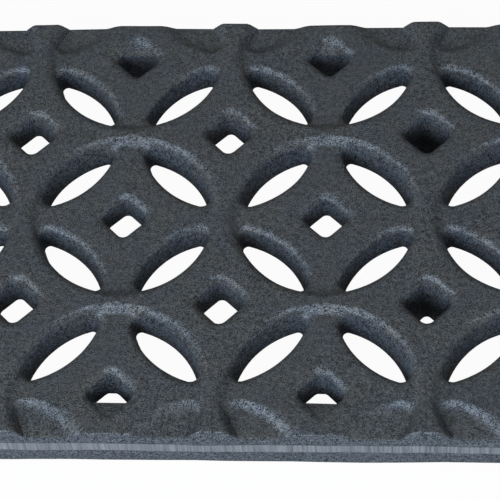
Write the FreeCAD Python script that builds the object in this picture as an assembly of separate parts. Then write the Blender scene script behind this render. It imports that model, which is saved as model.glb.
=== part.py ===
"""Trench drain grate: one iron casting, pierced with a lattice of touching rings.

Millimetres. The origin is the centre of the bearing face that the casting stands on, +X runs along
the trench, +Y across it and +Z up to the face that is walked on.

The upper face is a net of straps and four-pointed pads, which is what is left outside a square lattice
of round bores. Inside each bore lies a second four-pointed pad, a step lower, and the openings between
the two kinds of pad are leaf-shaped slots. A diamond hole pierces every whole pad. The casting bears on a
rim of full depth, stiffened by a rib across the middle, and openings that run out over the rim are
shallow recesses.
"""

import FreeCAD
import Part

import math
import os

vector = FreeCAD.Vector

# Overall
ring_pitch = 50.8
rings_along = 6
end_gap = 1.5
grate_width = 125.0
casting_depth = 14.3
web_thickness = 7.2
corner_cut = 3.5

# Rim, and the rib and bosses that stiffen it
rim_width = 9.75
rim_recess = 2.5
rib_width = 6.0
boss_wall = 3.5
drag_draft = 3.0

# Outer edge, from the walked face down: drafted face, ground band, drafted face
band_drop = 5.0
band_height = 3.6
edge_draft = 4.0

# Ring bores
strap_flat = 1.5
bore_lip_run = 2.3
bore_lip_drop = 2.5
bore_draft = 5.0

# Pads inside the bores, and the slots round them
ring_step = 1.2
slot_throat = 7.75
pad_draft = 8.0

# Diamond holes, across their flats, with corners cut back to a little past the flats
diamond_mouth = 11.7
diamond_lip_drop = 1.3
diamond_neck = 9.0
diamond_throat = 7.7
diamond_reach = 1.25
diamond_flare = 2.5

# How far a cutter runs past the face that it breaks out of
clear = 0.5

# Heights above the bearing face
net_z = casting_depth
pad_z = net_z - ring_step
recess_z = net_z - rim_recess
web_z = net_z - web_thickness

# Plan
grate_length = rings_along * ring_pitch - 2 * end_gap
ring_radius = ring_pitch / 2
rim_inner_x = grate_length / 2 - rim_width
rim_inner_y = grate_width / 2 - rim_width


def slope(degrees):
    """Sideways run of a drafted wall for each millimetre of its height."""
    return math.tan(math.radians(degrees))


def revolved(profile):
    """Solid of revolution about Z under a profile of (radius, height) points, from the bottom up."""
    points = [vector(0, 0, profile[0][1])]
    points += [vector(radius, 0, height) for radius, height in profile]
    points += [vector(0, 0, profile[-1][1])]
    face = Part.Face(Part.makePolygon(points + points[:1]))
    return face.revolve(vector(0, 0, 0), vector(0, 0, 1), 360)


def crossed(x_profile, y_profile):
    """Solid that is a rectangle at every height, with (half size, height) points for each side."""
    x_reach = max(half for half, height in x_profile)
    y_reach = max(half for half, height in y_profile)
    ends = [vector(half, -y_reach, height) for half, height in x_profile]
    ends += [vector(-half, -y_reach, height) for half, height in reversed(x_profile)]
    sides = [vector(-x_reach, half, height) for half, height in y_profile]
    sides += [vector(-x_reach, -half, height) for half, height in reversed(y_profile)]
    cross_bar = Part.Face(Part.makePolygon(ends + ends[:1])).extrude(vector(0, 2 * y_reach, 0))
    long_bar = Part.Face(Part.makePolygon(sides + sides[:1])).extrude(vector(2 * x_reach, 0, 0))
    return cross_bar.common(long_bar)


def block(x_size, y_size, bottom, top):
    """Upright box centred on the Z axis."""
    return Part.makeBox(x_size, y_size, top - bottom, vector(-x_size / 2, -y_size / 2, bottom))


def edge_profile(half):
    """Side of the casting, half its size from the middle at the ground band."""
    band_top = net_z - band_drop
    band_bottom = band_top - band_height
    return [
        (half - band_bottom * slope(edge_draft), 0),
        (half, band_bottom),
        (half, band_top),
        (half - band_drop * slope(edge_draft), net_z),
    ]


def blank():
    """The casting before it is pierced: the same edge all round, and cut corners."""
    plan = block(grate_length, grate_width, 0, net_z)
    corners = [edge for edge in plan.Edges if abs(edge.tangentAt(edge.FirstParameter).z) > 0.5]
    cut = plan.makeChamfer(corner_cut, corners)
    return crossed(edge_profile(grate_length / 2), edge_profile(grate_width / 2)).common(cut)


def window():
    """The space inside the rim, drafted so that it widens downwards."""
    low = -clear
    high = net_z + clear
    widened = (recess_z - low) * slope(drag_draft)
    narrowed = (recess_z - high) * slope(drag_draft)
    x_profile = [(rim_inner_x + widened, low), (rim_inner_x + narrowed, high)]
    y_profile = [(rim_inner_y + widened, low), (rim_inner_y + narrowed, high)]
    return crossed(x_profile, y_profile)


def diamond(face_z):
    """Cutter for one diamond hole whose lip lies at face_z, down through the casting."""
    lip_slope = (diamond_mouth - diamond_neck) / 2 / diamond_lip_drop
    low = -clear
    profile = [
        (diamond_throat / 2 + (web_z - low) * slope(diamond_flare), low),
        (diamond_throat / 2, web_z),
        (diamond_neck / 2, face_z - diamond_lip_drop),
        (diamond_mouth / 2 + clear * lip_slope, face_z + clear),
    ]
    corner_profile = [(half * diamond_reach, height) for half, height in profile]
    flats = crossed(profile, profile)
    flats.rotate(vector(0, 0, 0), vector(0, 0, 1), 45)
    return flats.common(crossed(corner_profile, corner_profile))


def ring():
    """Cutter for one ring: its bore, without the pad that stays standing in it."""
    bore_lip = ring_radius - strap_flat / 2
    bore_neck = bore_lip - bore_lip_run
    bore_throat = bore_neck - (web_thickness - bore_lip_drop) * slope(bore_draft)
    bore = revolved([
        (bore_throat, web_z - clear),
        (bore_throat, web_z),
        (bore_neck, net_z - bore_lip_drop),
        (bore_lip + clear * bore_lip_run / bore_lip_drop, net_z + clear),
    ])

    # The pad's four hollow sides are arcs about the corners of the ring's square
    side_throat = slot_throat + ring_pitch * math.sqrt(0.5) - bore_throat
    low = web_z - 2 * clear
    high = pad_z + clear
    side = revolved([
        (side_throat, low - clear),
        (side_throat, web_z),
        (side_throat + (high - web_z) * slope(pad_draft), high),
    ])
    pad = block(ring_pitch, ring_pitch, low, pad_z)
    for x in (-ring_radius, ring_radius):
        for y in (-ring_radius, ring_radius):
            pad = pad.cut(side.translated(vector(x, y, 0)))
    return bore.cut(pad.cut(diamond(pad_z)))


def lattice(first_x, first_y, reach):
    """Places on the ring pitch that lie no further than reach past the casting's sides."""
    places = []
    for column in range(-rings_along, rings_along + 1):
        for row in range(-rings_along, rings_along + 1):
            x = first_x + column * ring_pitch
            y = first_y + row * ring_pitch
            if abs(x) < grate_length / 2 + reach and abs(y) < grate_width / 2 + reach:
                places.append(vector(x, y, 0))
    return places


def over_rim(place, reach):
    """Whether an opening at a place runs out over the rim."""
    return abs(place.x) + reach > rim_inner_x or abs(place.y) + reach > rim_inner_y


def rib(diamond_places):
    """Rib across the middle, with a square boss round each diamond hole that pierces it."""
    low = -clear
    high = web_z + clear
    narrowed = (high - low) * slope(drag_draft)
    x_profile = [(rib_width / 2, low), (rib_width / 2 + narrowed, high)]
    y_profile = [(grate_width / 2, low), (grate_width / 2, high)]
    body = crossed(x_profile, y_profile)
    boss_half = diamond_throat / 2 + web_z * slope(diamond_flare) + boss_wall
    boss_profile = [(boss_half, low), (boss_half + narrowed, high)]
    boss = crossed(boss_profile, boss_profile)
    boss.rotate(vector(0, 0, 0), vector(0, 0, 1), 45)
    for place in diamond_places:
        body = body.fuse(boss.translated(place))
    return body


def grate():
    """The whole casting. Its rib runs under the column of straps that is nearest the middle."""
    middle = (rings_along % 2) * ring_radius
    ring_places = lattice(ring_radius - middle, 0, ring_radius)
    diamond_places = lattice(-middle, ring_radius, -diamond_mouth)
    rib_x = min((place.x for place in diamond_places), key=abs)
    on_rib = [vector(0, place.y, 0) for place in diamond_places if place.x == rib_x]

    opening = window()
    under_web = block(grate_length, grate_width, -2 * clear, web_z)
    pocket = opening.common(under_web).cut(rib(on_rib).translated(vector(rib_x, 0, 0)))
    over_floor = block(2 * grate_length, 2 * grate_width, recess_z, net_z + 2 * clear)
    open_to = opening.fuse(over_floor)

    cutters = []
    for cutter, places, reach in (
        (ring(), ring_places, ring_radius),
        (diamond(net_z), diamond_places, diamond_mouth),
    ):
        for place in places:
            placed = cutter.translated(place)
            cutters.append(placed.common(open_to) if over_rim(place, reach) else placed)
    return blank().cut(pocket).cut(cutters)


os.makedirs("parts", exist_ok=True)
casting = grate().removeSplitter()
casting.exportStep("parts/grate.step")
print("solids", len(casting.Solids), "valid", casting.isValid(), "volume", casting.Volume)
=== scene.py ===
"""Trench drain grate: the finished iron casting on a white studio floor.

The casting is worked out in millimetres, in the frame of the CAD part, and scaled to metres at the end.
One quarter of a lattice cell is laid out as a grid of rays that run from a leaf-shaped slot to a diamond
hole, and mirrors and copies of it make the whole walked face. Walls, rim and rib are drawn down from it.
"""

import math

import bmesh
import bpy
from mathutils import Matrix, Vector, noise


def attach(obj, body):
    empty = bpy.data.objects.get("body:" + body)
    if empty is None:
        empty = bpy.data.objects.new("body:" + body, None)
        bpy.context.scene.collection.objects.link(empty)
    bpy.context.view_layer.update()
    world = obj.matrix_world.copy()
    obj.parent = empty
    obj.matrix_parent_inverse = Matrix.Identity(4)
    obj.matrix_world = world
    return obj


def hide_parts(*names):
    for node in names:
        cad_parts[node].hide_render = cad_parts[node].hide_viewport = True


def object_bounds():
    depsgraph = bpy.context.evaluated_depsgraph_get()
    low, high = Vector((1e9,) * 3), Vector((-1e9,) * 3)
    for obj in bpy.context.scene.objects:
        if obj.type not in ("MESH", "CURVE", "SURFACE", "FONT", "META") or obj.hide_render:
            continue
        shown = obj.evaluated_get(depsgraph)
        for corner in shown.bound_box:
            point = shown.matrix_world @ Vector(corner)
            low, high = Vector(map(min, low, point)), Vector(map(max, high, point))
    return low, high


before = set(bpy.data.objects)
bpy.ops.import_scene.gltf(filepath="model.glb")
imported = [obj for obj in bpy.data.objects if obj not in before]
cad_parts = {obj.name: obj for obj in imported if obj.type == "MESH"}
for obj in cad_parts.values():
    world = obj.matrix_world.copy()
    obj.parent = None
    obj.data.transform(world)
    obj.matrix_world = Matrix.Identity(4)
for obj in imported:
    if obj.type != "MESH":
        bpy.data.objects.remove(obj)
cad_low, cad_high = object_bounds()

mm = 0.001
half_length = cad_high.x / mm
half_width = cad_high.y / mm

# Lattice: ring centres lie at odd columns and even rows of the half pitch, and net pads at even columns
# and odd rows. The first tile, two cells wide and high, is copied until it covers the casting.
ring_pitch = 50.8
half_pitch = ring_pitch / 2
tiles_along = 3
tiles_across = 1

# Heights
ring_step = 1.2
lip_depth = 2.5
web_thickness = 7.2
net_z = cad_high.z / mm
pad_z = net_z - ring_step
floor_z = net_z - lip_depth
web_z = net_z - web_thickness

# Leaf-shaped slots, at the foot of their lips
leaf_radius = 22.35
leaf_tip = 2.15
leaf_taper = 0.88
net_lip = 2.55
pad_lip = 1.95
lip_bend = 1.9
step_cove = 0.5

# Diamond holes, half across their flats: at the foot of the lip, under the web and under the rib
hole_half = 4.35
hole_corner = 1.8
hole_lip = 2.4
hole_throat = 3.65
hole_foot = 3.1
hole_lean = 0.5
hole_rows_end = 2.7 * half_pitch

# The row of holes that the rim cuts off, with throats that are drawn in and floors that rise outwards
cut_off_row = 2
rim_throat_share = 0.88
rim_throat_reach = 3.3
scoop_slope = 0.18

# Recesses over the rim, whose lips are softer and wider and are drawn in towards the casting's side
rim_recess_width = 9.75
soft_lip_start = rim_recess_width + 2
soft_lip_run = 3.0
net_softness = 0.6
pad_widening = 0.35
draw_start = rim_recess_width - 1
draw_run = 6.0
draw_blend = 4.0
recess_draw = 1.1

# Rib and bosses, half across under the web, and the draft of all that stands below the web
rib_half = 3.40
boss_half = 8.06
drag_slope = math.tan(math.radians(3))

# Outer edge: a round, the side with its ground band, and a round foot
edge_slope = math.tan(math.radians(4))
edge_round = 0.45
edge_turns = (30, 60, 90)
corner_round = 5.0
corner_turns = (18, 36, 54, 72)
shoulder_height = 1.5
band_top = net_z - 5.0
band_bottom = band_top - 3.6
foot_round = 0.5
foot_bend = 0.3 * foot_round

# How far the casting's faces wander, over long and short runs, and how much of that is up and down
long_wander = 0.4
short_wander = 0.1
upward_share = 0.5
wander_seed = 3

# Rays of a quarter cell, and the levels along them
flat_rays = 2
corner_rays = 3
hole_rays = flat_rays + corner_rays
strap_rays = 4
tip_rays = 8
blend_rays = 2
lip_levels = 5
face_levels = 7
web_levels = 2
sharp_turn = math.radians(38)

# Points closer than touch are one, and points within slack of a wall stand on it
touch = 0.01
slack = 0.04


def held(share):
    """A share held between nought and one."""
    return min(max(share, 0), 1)


def eased(share):
    """Soft step from nought to one."""
    share = held(share)
    return share * share * (3 - 2 * share)


def lip_shares():
    """How far out the levels of a rounded lip lie, from its foot to its top."""
    return [1 - math.cos(level / lip_levels * math.pi / 2) for level in range(lip_levels + 1)]


def lip_drop(out, run, soft=0):
    """Share of a lip's depth that is left at a distance from its foot, for a round or a soft lip."""
    share = held(1 - out / run)
    rounded = 1 - (1 - share ** lip_bend) ** (1 / lip_bend)
    return rounded + (eased(share) - rounded) * soft


tip_at = (half_pitch - math.sqrt(2 * (leaf_radius - leaf_tip) ** 2 - half_pitch ** 2)) / 2
tip_turn = math.atan2(tip_at, half_pitch - tip_at)


def leaf_point(turn, out):
    """Plan point at a distance outside a leaf's outline, where its normal has a turn from straight down."""
    centre = Vector((tip_at, tip_at))
    radius = leaf_tip
    if turn > tip_turn:
        centre = Vector((0, half_pitch))
        radius = leaf_radius
    return centre + (radius + out) * Vector((math.sin(turn), -math.cos(turn)))


def hole_point(ray, half):
    """Plan point on a diamond hole's outline: along half a flat, then round half a corner."""
    corner = hole_corner * half / hole_half
    bend = max(ray - flat_rays, 0) / corner_rays * math.pi / 4
    across = half - corner + corner * math.cos(bend)
    along = (half - corner) * min(ray / flat_rays, 1) + corner * math.sin(bend)
    return Vector((half_pitch - (across + along) * math.sqrt(0.5), (across - along) * math.sqrt(0.5)))


def quarter_rays():
    """Turn and plan end of each ray of a quarter cell, from the waist of a leaf to its tip."""
    ends = [hole_point(ray, hole_half) for ray in range(hole_rays + 1)]
    hole_end = ends[-1].x
    strap_start = hole_end - hole_lip
    strap_run = half_pitch * math.tan(tip_turn) - strap_start
    ends += [Vector((hole_end - share * hole_lip, 0)) for share in lip_shares()[1:]]
    ends += [Vector((strap_start + strap_run * ray / strap_rays, 0)) for ray in range(1, strap_rays + 1)]
    found = [(math.atan2(end.x, half_pitch - end.y), end) for end in ends]
    for ray in range(1, tip_rays + 1):
        turn = tip_turn - (tip_turn + math.pi / 4) * ray / tip_rays
        found.append((turn, Vector((tip_at * (1 + math.tan(turn)), 0))))
    return found


rays = quarter_rays()


def face_place(ray, level):
    """Plan point of the walked face on a ray: up the leaf's lip, then on to the hole or the cell's side."""
    turn, end = rays[ray]
    if level <= lip_levels:
        return leaf_point(turn, net_lip * lip_shares()[level])
    start = leaf_point(turn, net_lip)
    step = level - lip_levels
    even = step / face_levels
    lip_share = hole_lip / (end - start).length
    lip_start = face_levels - lip_levels
    if step < lip_start:
        by_hole = (1 - lip_share) * step / lip_start
    else:
        by_hole = 1 - lip_share * lip_shares()[face_levels - step]
    near_hole = held(1 - (ray - hole_rays - blend_rays) / lip_levels)
    return start.lerp(end, even + (by_hole - even) * near_hole)


def web_place(ray, level):
    """Plan point of the web's underside on a ray."""
    turn, end = rays[ray]
    if ray <= hole_rays:
        end = hole_point(ray, hole_throat)
    return leaf_point(turn, -leaf_taper).lerp(end, level / web_levels)


def new_verts(result):
    """The vertices that an operator made."""
    return [part for part in result["geom"] if isinstance(part, bmesh.types.BMVert)]


def mirror_copy(bm, plane_normal, plane_distance):
    """Adds the reflection of all that there is in a plane."""
    normal = Vector(plane_normal).normalized()
    turned = Vector((1, 0, 0)).rotation_difference(normal).to_matrix().to_4x4()
    matrix = Matrix.Translation(normal * plane_distance) @ turned
    reflect = matrix @ Matrix.Scale(-1, 4, (1, 0, 0)) @ matrix.inverted()
    copied = bmesh.ops.duplicate(bm, geom=bm.verts[:] + bm.edges[:] + bm.faces[:])
    bmesh.ops.transform(bm, matrix=reflect, verts=new_verts(copied))
    bmesh.ops.remove_doubles(bm, verts=bm.verts[:], dist=touch)


def lattice(place, levels):
    """Flat net of the whole lattice, with a quarter cell's points given by their ray and level."""
    bm = bmesh.new()
    bmesh.ops.create_grid(bm, x_segments=len(rays) - 1, y_segments=levels, size=0.5)
    for vert in bm.verts:
        ray = round((vert.co.x + 0.5) * (len(rays) - 1))
        level = round((vert.co.y + 0.5) * levels)
        vert.co = place(ray, level).to_3d()
    mirror_copy(bm, (1, 1, 0), half_pitch * math.sqrt(0.5))
    mirror_copy(bm, (1, -1, 0), 0)
    mirror_copy(bm, (1, 0, 0), 0)
    mirror_copy(bm, (0, 1, 0), 0)
    tile = bm.verts[:] + bm.edges[:] + bm.faces[:]
    for column in range(-tiles_along, tiles_along + 1):
        for row in range(-tiles_across, tiles_across + 1):
            if column or row:
                copied = bmesh.ops.duplicate(bm, geom=tile)
                shift = (column * ring_pitch, row * ring_pitch, 0)
                bmesh.ops.translate(bm, vec=shift, verts=new_verts(copied))
    bmesh.ops.remove_doubles(bm, verts=bm.verts[:], dist=touch)
    return bm


def cell_point(x, y):
    """Place of a plan point in the first cell, between two nodes, a ring's centre and a net pad's."""
    u = abs((x + half_pitch) % ring_pitch - half_pitch)
    v = abs((y + half_pitch) % ring_pitch - half_pitch)
    return u, v


def quarter_point(u, v):
    """A cell's point folded into the first quarter, and whether it was on the net's side of the leaf."""
    on_net = v > u
    if on_net:
        u, v = v, u
    if u + v > half_pitch:
        u, v = half_pitch - v, half_pitch - u
    return u, v, on_net


def leaf_gap(u, v):
    """Distance of a quarter's point from the leaf's outline."""
    if math.atan2(u, half_pitch - v) > tip_turn:
        return math.hypot(u, half_pitch - v) - leaf_radius
    return math.hypot(u - tip_at, v - tip_at) - leaf_tip


def hole_gap(u, v):
    """Distance of a quarter's point from the diamond hole's outline."""
    across = (half_pitch - u + v) * math.sqrt(0.5)
    along = abs(half_pitch - u - v) * math.sqrt(0.5)
    core = hole_half - hole_corner
    return math.hypot(max(across - core, 0), max(along - core, 0)) - hole_corner


def leaf_inward(x, y):
    """Way into the leaf from a point of its outline, or from one outside it."""
    u, v = cell_point(x, y)
    folded_u, folded_v, on_net = quarter_point(u, v)
    centre = Vector((0, half_pitch))
    if math.atan2(folded_u, half_pitch - folded_v) <= tip_turn:
        centre = Vector((tip_at, tip_at))
    way = (centre - Vector((folded_u, folded_v))).normalized()
    if u + v > half_pitch:
        way = Vector((-way.y, -way.x))
    if on_net:
        way = Vector((way.y, way.x))
    column = (x + half_pitch) % ring_pitch - half_pitch
    row = (y + half_pitch) % ring_pitch - half_pitch
    return Vector((math.copysign(1, column) * way.x, math.copysign(1, row) * way.y))


def pad_centre(plan):
    """Plan point of the lattice, on the half pitch, that a point lies nearest to."""
    return Vector((round(plan.x / half_pitch), round(plan.y / half_pitch))) * half_pitch


def at_rim(y):
    """Whether a point is in one of the rows of holes that the rim cuts off."""
    return abs(round(y / half_pitch)) == cut_off_row


def face_height(x, y):
    """Height of the walked face: the net with its rounded ring lips, over pads a step lower."""
    u, v = cell_point(x, y)
    ring_out = math.hypot(half_pitch - u, v) - leaf_radius
    u, v, on_net = quarter_point(u, v)
    out = leaf_gap(u, v)
    if out < touch:
        return floor_z
    over_rim = eased((abs(y) - half_width + soft_lip_start) / soft_lip_run)
    widened = pad_lip * (1 + pad_widening * over_rim)
    net = net_z - (net_z - floor_z) * lip_drop(ring_out, net_lip, net_softness * over_rim)
    pad = pad_z - (pad_z - floor_z) * lip_drop(out, widened, over_rim)
    cove = step_cove * min(out / pad_lip, 1)
    blend = max(cove - abs(net - pad), 0)
    height = max(net, pad) + blend * blend / (4 * cove)

    # The net pads at the ends have no room for a hole
    if not on_net or abs(x) <= half_length - half_pitch:
        height -= ((net_z if on_net else pad_z) - floor_z) * lip_drop(hole_gap(u, v), hole_lip)
    return min(height, net_z)


def narrow_recesses(bm):
    """Draws the ring pads' edges over the recesses in the rim, more and more towards the casting's side."""
    for vert in bm.verts:
        over = abs(vert.co.y) - half_width + draw_start
        u, v, on_net = quarter_point(*cell_point(vert.co.x, vert.co.y))
        out = leaf_gap(u, v)
        if over > 0 and not on_net and out < draw_blend:
            share = eased(over / draw_run) * (1 - eased(out / draw_blend))
            vert.co.xy += leaf_inward(vert.co.x, vert.co.y) * recess_draw * share


def open_edges(bm, test):
    """Edges with one face whose ends both pass a test."""
    return [edge for edge in bm.edges if edge.is_boundary and all(test(vert.co) for vert in edge.verts)]


def close_openings(bm):
    """Puts a floor into every slot and hole."""
    def on_outline(co):
        u, v, on_net = quarter_point(*cell_point(co.x, co.y))
        return leaf_gap(u, v) < touch or (hole_gap(u, v) < touch and abs(co.y) < hole_rows_end)

    bmesh.ops.holes_fill(bm, edges=open_edges(bm, on_outline), sides=0)


def cut(bm, faces, point, normal, clear_outer=False):
    """Cuts faces along a plane."""
    geom = list(dict.fromkeys(part for face in faces for part in (*face.verts, *face.edges, face)))
    bmesh.ops.bisect_plane(
        bm, geom=geom, dist=touch / 10, plane_co=point, plane_no=normal, clear_outer=clear_outer)


def cut_to_box(bm, x_half, y_half):
    """Cuts away all that lies outside a box."""
    for sign in (-1, 1):
        cut(bm, bm.faces, (sign * x_half, 0, 0), (sign, 0, 0), True)
        cut(bm, bm.faces, (0, sign * y_half, 0), (0, sign, 0), True)


def level_way(degrees):
    """Level way at a turn from X."""
    turn = math.radians(degrees)
    return Vector((math.cos(turn), math.sin(turn), 0))


edge_inset = (net_z - band_top) * edge_slope + edge_round
top_x = half_length - edge_inset
top_y = half_width - edge_inset


def trim(bm):
    """Cuts the lattice to the casting's plan, inside its rounded edge."""
    cut_to_box(bm, top_x, top_y)
    for x_sign in (-1, 1):
        for y_sign in (-1, 1):
            centre = Vector((x_sign * (top_x - corner_round), y_sign * (top_y - corner_round), 0))
            for degrees in corner_turns:
                way = level_way(degrees)
                normal = Vector((x_sign * way.x, y_sign * way.y, 0))
                near = [f for f in bm.faces if (f.calc_center_bounds() - centre).xy.length < ring_pitch]
                cut(bm, near, centre + normal * corner_round, normal, True)


def edge_normal(x, y):
    """Way out from the casting at a point of its outline."""
    dx = max(abs(x) - top_x + corner_round, 0)
    dy = max(abs(y) - top_y + corner_round, 0)
    return Vector((math.copysign(dx, x), math.copysign(dy, y))).normalized()


def edge_run(z):
    """How far out the casting's side lies at a height, from where the walked face is trimmed."""
    return edge_inset - max(z - band_top, band_bottom - z, 0) * edge_slope


def draw_edge(bm):
    """Draws the outer edge down from the trimmed face: a round, the sides with their band, and the foot."""
    rim = bm.verts.layers.float_vector.new("rim")
    outline = open_edges(bm, lambda co: True)
    for edge in outline:
        for vert in edge.verts:
            vert[rim] = vert.co

    def rounded(degrees):
        turn = math.radians(degrees)
        return lambda z: (z - edge_round * (1 - math.cos(turn)), math.sin(turn) * edge_run(z - edge_round))

    def level(height, back=0):
        return lambda z: (height, edge_run(height) - back)

    steps = [rounded(degrees) for degrees in edge_turns]
    steps += [level(height) for height in (band_top + shoulder_height, band_top, band_bottom, foot_round)]
    steps += [level(foot_bend, foot_bend), level(0, foot_round)]
    for step in steps:
        result = bmesh.ops.extrude_edge_only(bm, edges=outline)
        for vert in new_verts(result):
            start = vert[rim]
            height, run = step(start.z)
            plan = start.xy + edge_normal(start.x, start.y) * run
            vert.co = (plan.x, plan.y, height)
        outline = [part for part in result["geom"]
                   if isinstance(part, bmesh.types.BMEdge) and part.is_boundary]
    bm.verts.layers.float_vector.remove(rim)


def window_half(z):
    """Half length and half width of the space inside the rim, at a height."""
    out = (floor_z - z) * drag_slope
    return half_length - rim_recess_width + out, half_width - rim_recess_width + out


def inside(co, z, margin=0):
    """Whether a plan point lies inside the rim at a height."""
    x_half, y_half = window_half(z)
    return abs(co.x) < x_half - margin and abs(co.y) < y_half - margin


def on_window(co, z):
    """Whether a point lies on the rim's inner face at a height."""
    x_half, y_half = window_half(z)
    return abs(abs(co.x) - x_half) < slack or abs(abs(co.y) - y_half) < slack


def drawn_in(plan):
    """Point of a throat, drawn in where the rim cuts its hole off, so that it tapers more than others."""
    if not at_rim(plan.y):
        return plan
    centre = pad_centre(plan)
    out = (plan - centre) * rim_throat_share
    return centre + Vector((out.x, min(max(out.y, -rim_throat_reach), rim_throat_reach)))


def wall_foot(co):
    """Where a point of an opening's outline comes down to under the web."""
    u, v, on_net = quarter_point(*cell_point(co.x, co.y))
    if hole_gap(u, v) < touch:
        centre = pad_centre(co)
        plan = drawn_in(centre + (co.xy - centre) * hole_throat / hole_half)
    else:
        plan = co.xy + leaf_inward(co.x, co.y) * leaf_taper
    return Vector((plan.x, plan.y, web_z))


def pierce(bm):
    """Draws the openings inside the rim down through the web, and leaves those over it as recesses."""
    def on_floor(face):
        return all(abs(vert.co.z - floor_z) < touch for vert in face.verts)

    deep = [face for face in bm.faces
            if on_floor(face) and any(inside(vert.co, floor_z, touch) for vert in face.verts)]
    shared = [face for face in deep if not all(inside(vert.co, floor_z) for vert in face.verts)]
    own = [face for face in deep if face not in shared]
    lips = list(dict.fromkeys(edge for face in deep for edge in face.edges))
    result = bmesh.ops.extrude_edge_only(bm, edges=lips)
    walls = [part for part in result["geom"] if isinstance(part, bmesh.types.BMFace)]
    for vert in new_verts(result):
        vert.co = wall_foot(vert.co)
    bmesh.ops.delete(bm, geom=own, context="FACES_ONLY")

    # Openings that run out over the rim keep their floor there and end at the rim's inner face
    for face in walls + shared:
        face.material_index = 1
    x_half, y_half = window_half(floor_z)
    for way in (Vector((1, 0)), Vector((-1, 0)), Vector((0, 1)), Vector((0, -1))):
        reach = x_half if way.x else y_half
        normal = Vector((way.x, way.y, drag_slope)).normalized()
        point = Vector((way.x * reach, way.y * reach, floor_z))
        cut(bm, [face for face in bm.faces if face.material_index], point, normal)
    gone = []
    for face in bm.faces:
        if face.material_index:
            face.material_index = 0
            centre = face.calc_center_median()
            if on_floor(face) == inside(centre, centre.z):
                gone.append(face)
    bmesh.ops.delete(bm, geom=gone, context="FACES")


def face_rim(bm):
    """Closes the rim's inner face under the recesses, down to the web."""
    def lowest(vert):
        ways = [edge for edge in vert.link_edges if edge.is_boundary]
        return min(ways, key=lambda edge: edge.other_vert(vert).co.z)

    for chord in open_edges(bm, lambda co: abs(co.z - floor_z) < touch and on_window(co, floor_z)):
        outline = [chord]
        feet = []
        for vert in chord.verts:
            while vert.co.z > web_z + touch:
                down = lowest(vert)
                outline.append(down)
                vert = down.other_vert(vert)
            feet.append(vert)
        outline.append(bm.edges.new(feet))
        bmesh.ops.edgenet_fill(bm, edges=outline)


def scoop_rim_holes(bm):
    """Lets the floors of the holes that the rim cuts off rise outwards to the pad."""
    x_half, y_half = window_half(floor_z)
    for vert in bm.verts:
        over = abs(vert.co.y) - y_half
        if over > 0 and at_rim(vert.co.y) and vert.co.z > floor_z - touch:
            u, v, on_net = quarter_point(*cell_point(vert.co.x, vert.co.y))
            if hole_gap(u, v) < hole_lip:
                vert.co.z = max(vert.co.z, floor_z + scoop_slope * over)


def under_web():
    """The web's underside inside the rim."""
    bm = lattice(web_place, web_levels)
    bmesh.ops.translate(bm, vec=(0, 0, web_z), verts=bm.verts[:])
    for vert in bm.verts:
        u, v, on_net = quarter_point(*cell_point(vert.co.x, vert.co.y))
        if hole_gap(u, v) < 0:
            vert.co.xy = drawn_in(vert.co.xy)
    cut_to_box(bm, *window_half(web_z))
    return bm


def stand_rib(bm):
    """Takes the web's underside away where the rib and its bosses stand."""
    def underside(centre, reach):
        return [face for face in bm.faces if (face.calc_center_median() - centre).length < reach
                and all(abs(vert.co.z - web_z) < touch for vert in face.verts)]

    middle = Vector((0, 0, web_z))
    for sign in (-1, 1):
        cut(bm, underside(middle, half_width), (sign * rib_half, 0, 0), (sign, 0, 0))
    for sign in (-1, 1):
        boss = Vector((0, sign * half_pitch, web_z))
        for degrees in (45, 135, 225, 315):
            normal = level_way(degrees)
            cut(bm, underside(boss, 2 * boss_half), boss + normal * boss_half, normal)
    on_rib = []
    for face in underside(middle, half_width):
        centre = face.calc_center_median()
        boss_reach = abs(centre.x) + abs(abs(centre.y) - half_pitch)
        if abs(centre.x) < rib_half or boss_reach < boss_half * math.sqrt(2):
            on_rib.append(face)
    bmesh.ops.delete(bm, geom=on_rib, context="FACES")


def bearing_foot(co):
    """Where a point of the web's underside comes down to at the bearing face."""
    plan = co.xy.copy()
    run = web_z * drag_slope
    boss = Vector((0, math.copysign(half_pitch, co.y)))
    from_boss = plan - boss
    boss_reach = (abs(from_boss.x) + abs(from_boss.y)) * math.sqrt(0.5)
    if boss_reach < hole_throat + slack:
        plan = boss + from_boss * hole_foot / hole_throat
        plan.y -= math.copysign(hole_lean, boss.y)
    elif boss_reach < boss_half + slack:
        plan = boss + from_boss * (1 - run / boss_half)
    elif abs(plan.x) < rib_half + slack:
        plan.x *= 1 - run / rib_half
    x_half, y_half = window_half(web_z)
    if abs(abs(co.x) - x_half) < slack:
        plan.x += math.copysign(run, co.x)
    if abs(abs(co.y) - y_half) < slack:
        plan.y += math.copysign(run, co.y)
    return Vector((plan.x, plan.y, 0))


def draw_underside(bm):
    """Draws the rim's inner face, the rib and the bosses down to the bearing face, and closes that."""
    result = bmesh.ops.extrude_edge_only(bm, edges=open_edges(bm, lambda co: abs(co.z - web_z) < touch))
    for vert in new_verts(result):
        vert.co = bearing_foot(vert.co)
    bearing = open_edges(bm, lambda co: abs(co.z) < touch)
    bmesh.ops.triangle_fill(bm, use_beauty=True, use_dissolve=False, edges=bearing, normal=(0, 0, -1))


def wander(bm):
    """Moves points a little, as the faces of a casting do, but never out of its true size."""
    noise.seed_set(wander_seed)
    for vert in bm.verts:
        way = noise.noise_vector(vert.co / half_pitch) * long_wander
        way += noise.noise_vector(vert.co / rim_recess_width) * short_wander
        way.z *= min(vert.co.z / web_z, 1) * upward_share
        for axis, limit in enumerate((half_length, half_width, net_z)):
            vert.co[axis] = min(max(vert.co[axis] + way[axis], -limit), limit)


def add_object(name, data):
    """Object of a mesh, a lamp or a camera, in the scene."""
    made = bpy.data.objects.new(name, data)
    bpy.context.scene.collection.objects.link(made)
    return made


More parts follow.
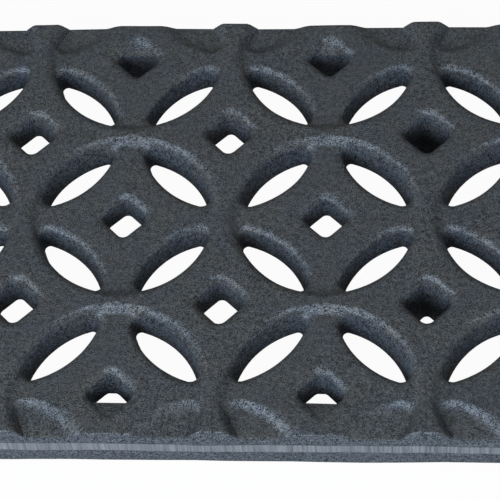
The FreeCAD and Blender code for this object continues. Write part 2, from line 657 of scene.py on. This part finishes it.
def casting():
    """The whole casting as one closed mesh, in metres."""
    bm = lattice(face_place, lip_levels + face_levels)
    close_openings(bm)
    for vert in bm.verts:
        vert.co.z = face_height(vert.co.x, vert.co.y)
    narrow_recesses(bm)
    trim(bm)
    draw_edge(bm)
    pierce(bm)
    face_rim(bm)
    scoop_rim_holes(bm)

    web = under_web()
    web_mesh = bpy.data.meshes.new("web")
    web.to_mesh(web_mesh)
    web.free()
    bm.from_mesh(web_mesh)
    bpy.data.meshes.remove(web_mesh)
    bmesh.ops.remove_doubles(bm, verts=bm.verts[:], dist=touch / 2)
    stand_rib(bm)
    draw_underside(bm)

    wander(bm)
    bmesh.ops.recalc_face_normals(bm, faces=bm.faces[:])
    bmesh.ops.scale(bm, vec=(mm, mm, mm), verts=bm.verts[:])
    mesh = bpy.data.meshes.new("iron_casting")
    bm.to_mesh(mesh)
    bm.free()
    mesh.shade_smooth()
    mesh.set_sharp_from_angle(angle=sharp_turn)
    return add_object("iron_casting", mesh)


grate = casting()
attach(grate, "root")
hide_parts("grate")


def fresh_tree(owner):
    """Empty node tree of a material or a world."""
    owner.use_nodes = True
    owner.node_tree.nodes.clear()
    return owner.node_tree


def add_node(tree, kind, links=None, **settings):
    """A shader node with its settings, and its sockets set to values or linked to other sockets."""
    made = tree.nodes.new(kind)
    for name, value in settings.items():
        setattr(made, name, value)
    for socket, value in (links or {}).items():
        if isinstance(value, bpy.types.NodeSocket):
            tree.links.new(value, made.inputs[socket])
        else:
            made.inputs[socket].default_value = value
    return made


def grain(tree, place, scale, detail, roughness=0.5):
    """Noise over the casting, with its scale in grains to a metre."""
    made = add_node(tree, "ShaderNodeTexNoise", {
        "Vector": place, "Scale": scale, "Detail": detail, "Roughness": roughness})
    return made.outputs["Fac"]


def remap(tree, value, low, high, to_low=0.0, to_high=1.0):
    """A value's range turned into another, held at its ends."""
    made = add_node(tree, "ShaderNodeMapRange", {
        "Value": value, "From Min": low, "From Max": high, "To Min": to_low, "To Max": to_high})
    return made.outputs["Result"]


def reckon(tree, operation, first, second=0.0):
    """One step of arithmetic on sockets."""
    made = add_node(tree, "ShaderNodeMath", {0: first, 1: second}, operation=operation)
    return made.outputs["Value"]


def mix_values(tree, share, first, second):
    """Two values mixed by a share."""
    made = add_node(tree, "ShaderNodeMix", {0: share, 2: first, 3: second}, data_type="FLOAT")
    return made.outputs[0]


def mix_colours(tree, share, first, second, blend_type="MIX"):
    """Two colours mixed by a share."""
    made = add_node(
        tree, "ShaderNodeMix", {0: share, 6: first, 7: second}, data_type="RGBA", blend_type=blend_type)
    return made.outputs[2]


# Tones of the iron, from its dark grains to its light ones: bare faces, a painted highlight for crests that
# face the front, painted shade for steep walls, scuffed sides and the steel of the ground band, and a darker
# painted shade deep in the holes
bare_tones = (0.016, 0.0175, 0.019, 1), (0.128, 0.1365, 0.1455, 1)
highlight_tones = (0.008, 0.010, 0.012, 1), (0.250, 0.277, 0.316, 1)
wall_shade_tones = (0.003, 0.0037, 0.0048, 1), (0.081, 0.094, 0.115, 1)
scuffed_tones = (0.007, 0.0083, 0.0105, 1), (0.125, 0.141, 0.166, 1)
steel_tones = (0.078, 0.087, 0.099, 1), (0.182, 0.195, 0.213, 1)
patch_tone = (0.060, 0.066, 0.074, 1)
depth_shade_tone = (0.004, 0.0045, 0.005, 1)
mottle_tints = (0.93, 0.97, 1.02, 1), (1.05, 1.02, 0.97, 1)

# A painted highlight lightens crests where they face this way, from a little above the floor of the recesses
highlight_way = (-0.11, -0.41, 0.905)
highlight_low = (floor_z + 0.15) * mm
highlight_high = (floor_z + 0.65) * mm

# How far the ground band's ragged borders stray, how soft they are, and how thick the sides' tone is
band_stray = 2 * mm
band_border = 0.25 * mm
side_depth = 2 * mm
stroke_scale = (2600, 2600, 60)
relief_height = 0.5 * mm


def cast_skin(tree, where, axes, lean, dust):
    """Colour of the cast faces: grey and patchy when level, with a painted highlight on crests that face the
    front, painted shade down steep walls and more painted shade deeper in the holes.
    """
    patches = grain(tree, where["Object"], scale=55, detail=3.0, roughness=0.55)
    mottle = grain(tree, where["Object"], scale=130, detail=3.0, roughness=0.6)
    bare = mix_colours(tree, dust, *bare_tones)
    toned = mix_colours(tree, remap(tree, patches, 0.3, 0.7, 0.0, 0.35), bare, patch_tone)

    # Painted highlight: faces turned to the front, as the lamp lights them, are painted lighter
    facing = add_node(
        tree, "ShaderNodeVectorMath", {0: where["Normal"], 1: highlight_way}, operation="DOT_PRODUCT")
    crest_highlight = remap(tree, facing.outputs["Value"], 0.925, 0.98)
    crest_highlight = reckon(tree, "MULTIPLY", crest_highlight, remap(tree, axes["Z"], highlight_low, highlight_high))
    crest_highlight = reckon(tree, "MULTIPLY", crest_highlight, remap(tree, patches, 0.3, 0.6, 0.5, 1.0))
    highlighted = mix_colours(tree, crest_highlight, toned, mix_colours(tree, dust, *highlight_tones))

    # Painted shade: the steeper a face, the darker it is painted, down the walls of slots and holes
    steep = remap(tree, lean, 0.86, 0.36)
    wall_shaded = mix_colours(tree, steep, highlighted, mix_colours(tree, dust, *wall_shade_tones))
    # Painted shade: the holes are painted darker towards the web's underside
    deep = remap(tree, axes["Z"], floor_z * mm, web_z * mm, 0.0, 0.35)
    sunk = mix_colours(tree, deep, wall_shaded, depth_shade_tone)
    tint = mix_colours(tree, remap(tree, mottle, 0.35, 0.65), *mottle_tints)
    return mix_colours(tree, 1.0, sunk, tint, "MULTIPLY")


def on_side(tree, axes, lean):
    """One on the casting's outer sides, and nought elsewhere."""
    across = reckon(tree, "GREATER_THAN", reckon(tree, "ABSOLUTE", axes["Y"]), half_width * mm - side_depth)
    along = reckon(tree, "GREATER_THAN", reckon(tree, "ABSOLUTE", axes["X"]), half_length * mm - side_depth)
    upright = remap(tree, lean, 0.75, 0.5)
    return reckon(tree, "MULTIPLY", reckon(tree, "MAXIMUM", along, across), upright)


def on_band(tree, place, axes, side):
    """One on the ground band round the sides, with ragged borders."""
    stray = reckon(tree, "SUBTRACT", grain(tree, place, scale=45, detail=4.0), 0.5)
    height = reckon(tree, "ADD", axes["Z"], reckon(tree, "MULTIPLY", stray, band_stray))
    above = remap(tree, height, band_bottom * mm, band_bottom * mm + band_border)
    below = remap(tree, height, band_top * mm - band_border, band_top * mm, 1.0, 0.0)
    return reckon(tree, "MULTIPLY", reckon(tree, "MULTIPLY", above, below), side)


def ground_steel(tree, place):
    """Colour of the ground band, scratched up and down."""
    strokes = add_node(tree, "ShaderNodeMapping", {"Vector": place, "Scale": stroke_scale}).outputs["Vector"]
    scratch = grain(tree, strokes, scale=1.0, detail=2.0, roughness=0.6)
    return mix_colours(tree, remap(tree, scratch, 0.3, 0.7), *steel_tones)


def sand_cast_iron():
    """Dark iron with the grain of the sand that it was cast in, and a ground band round its edge."""
    material = bpy.data.materials.new("sand_cast_iron")
    tree = fresh_tree(material)
    where = add_node(tree, "ShaderNodeTexCoord").outputs
    place = where["Object"]
    axes = add_node(tree, "ShaderNodeSeparateXYZ", {"Vector": place}).outputs
    lean = add_node(tree, "ShaderNodeSeparateXYZ", {"Vector": where["Normal"]}).outputs["Z"]
    sand = grain(tree, place, scale=3200, detail=2.0, roughness=0.65)
    pits = grain(tree, place, scale=900, detail=2.0)
    dust = remap(tree, mix_values(tree, 0.25, sand, pits), 0.39, 0.61)

    side = on_side(tree, axes, lean)
    band = on_band(tree, place, axes, side)
    skin = cast_skin(tree, where, axes, lean, dust)
    sided = mix_colours(tree, side, skin, mix_colours(tree, dust, *scuffed_tones))
    colour = mix_colours(tree, band, sided, ground_steel(tree, place))

    rough = remap(tree, sand, 0.3, 0.7, 0.85, 0.6)
    relief = reckon(tree, "ADD", reckon(tree, "MULTIPLY", sand, 0.7), reckon(tree, "MULTIPLY", pits, 0.6))
    relief = reckon(tree, "MULTIPLY", relief, remap(tree, band, 0.0, 1.0, 1.0, 0.25))
    bump = add_node(tree, "ShaderNodeBump", {"Strength": 1.0, "Distance": relief_height, "Height": relief})
    shader = add_node(tree, "ShaderNodeBsdfPrincipled", {
        "Base Color": colour, "Roughness": rough, "Normal": bump.outputs["Normal"],
        "Metallic": 0.0, "Specular IOR Level": 0.06})
    add_node(tree, "ShaderNodeOutputMaterial", {"Surface": shader.outputs["BSDF"]})
    return material


# Studio, in metres
floor_half = 4.0
floor_gap = 0.0004
floor_paint = (0.8, 0.8, 0.8, 1)
floor_glow = 0.96
white = (1, 1, 1, 1)
room_colour = (1.0, 0.98, 0.94, 1)
room_light = 0.38
lamp_place = (-0.44, -1.08, 0.60)
lamp_size = 0.7
lamp_power = 23.5
lamp_colour = (0.82, 0.91, 1.0)

# Where the photograph was taken from
view_centre = Vector((-44.5, -5.45, 6.35)) * mm
camera_place = Vector((-4.88, -295.72, 446.93)) * mm
camera_roll = math.radians(-6.43)
camera_lens = 150.95
camera_sensor = 36
camera_near = 0.01


def seen_directly(tree):
    """One where the camera, a glossy reflection or a clear pane looks, and nought for light that bounces."""
    path = add_node(tree, "ShaderNodeLightPath").outputs
    glossy = reckon(tree, "MAXIMUM", path["Is Camera Ray"], path["Is Glossy Ray"])
    return reckon(tree, "MAXIMUM", glossy, path["Is Transmission Ray"])


def white_floor():
    """Floor that looks white and keeps a little of the casting's shadow."""
    bm = bmesh.new()
    bmesh.ops.create_grid(bm, x_segments=1, y_segments=1, size=floor_half)
    bmesh.ops.translate(bm, vec=(0, 0, cad_low.z - floor_gap), verts=bm.verts[:])
    mesh = bpy.data.meshes.new("studio_floor")
    bm.to_mesh(mesh)
    bm.free()
    material = bpy.data.materials.new("white_floor_paint")
    tree = fresh_tree(material)
    paint = add_node(tree, "ShaderNodeBsdfDiffuse", {"Color": floor_paint}).outputs["BSDF"]
    glow = add_node(tree, "ShaderNodeEmission", {"Color": white, "Strength": 1.0}).outputs["Emission"]
    share = reckon(tree, "MULTIPLY", seen_directly(tree), floor_glow)
    mixed = add_node(tree, "ShaderNodeMixShader", {0: share, 1: paint, 2: glow})
    add_node(tree, "ShaderNodeOutputMaterial", {"Surface": mixed.outputs["Shader"]})
    mesh.materials.append(material)
    floor = add_object("studio_floor", mesh)


def soft_room():
    """Even pale light from all round, white where it is looked at."""
    world = bpy.data.worlds.new("soft_room")
    tree = fresh_tree(world)
    dim = add_node(tree, "ShaderNodeBackground", {"Color": room_colour, "Strength": room_light})
    bright = add_node(tree, "ShaderNodeBackground", {"Color": white, "Strength": 1.0})
    mixed = add_node(tree, "ShaderNodeMixShader", {
        0: seen_directly(tree), 1: dim.outputs["Background"], 2: bright.outputs["Background"]})
    add_node(tree, "ShaderNodeOutputWorld", {"Surface": mixed.outputs["Shader"]})
    bpy.context.scene.world = world


def aim(thing, place):
    """Puts a lamp or a camera at a place and points it at the middle of the view."""
    thing.location = place
    thing.rotation_euler = (view_centre - Vector(place)).to_track_quat("-Z", "Y").to_euler()


def front_left_box():
    """Square studio lamp."""
    lamp = bpy.data.lights.new("front_left_box", "AREA")
    lamp.size = lamp_size
    lamp.energy = lamp_power
    lamp.color = lamp_colour
    aim(add_object("front_left_box", lamp), lamp_place)


def photo_camera():
    """Camera where the photograph was taken from."""
    camera = bpy.data.cameras.new("photo_camera")
    camera.sensor_width = camera_sensor
    camera.lens = camera_lens
    camera.clip_start = camera_near
    stand = add_object("photo_camera", camera)
    aim(stand, camera_place)
    stand.rotation_euler.rotate_axis("Z", camera_roll)
    bpy.context.scene.camera = stand


grate.data.materials.append(sand_cast_iron())
white_floor()
soft_room()
front_left_box()
photo_camera()
bpy.context.scene.view_settings.view_transform = "Standard"
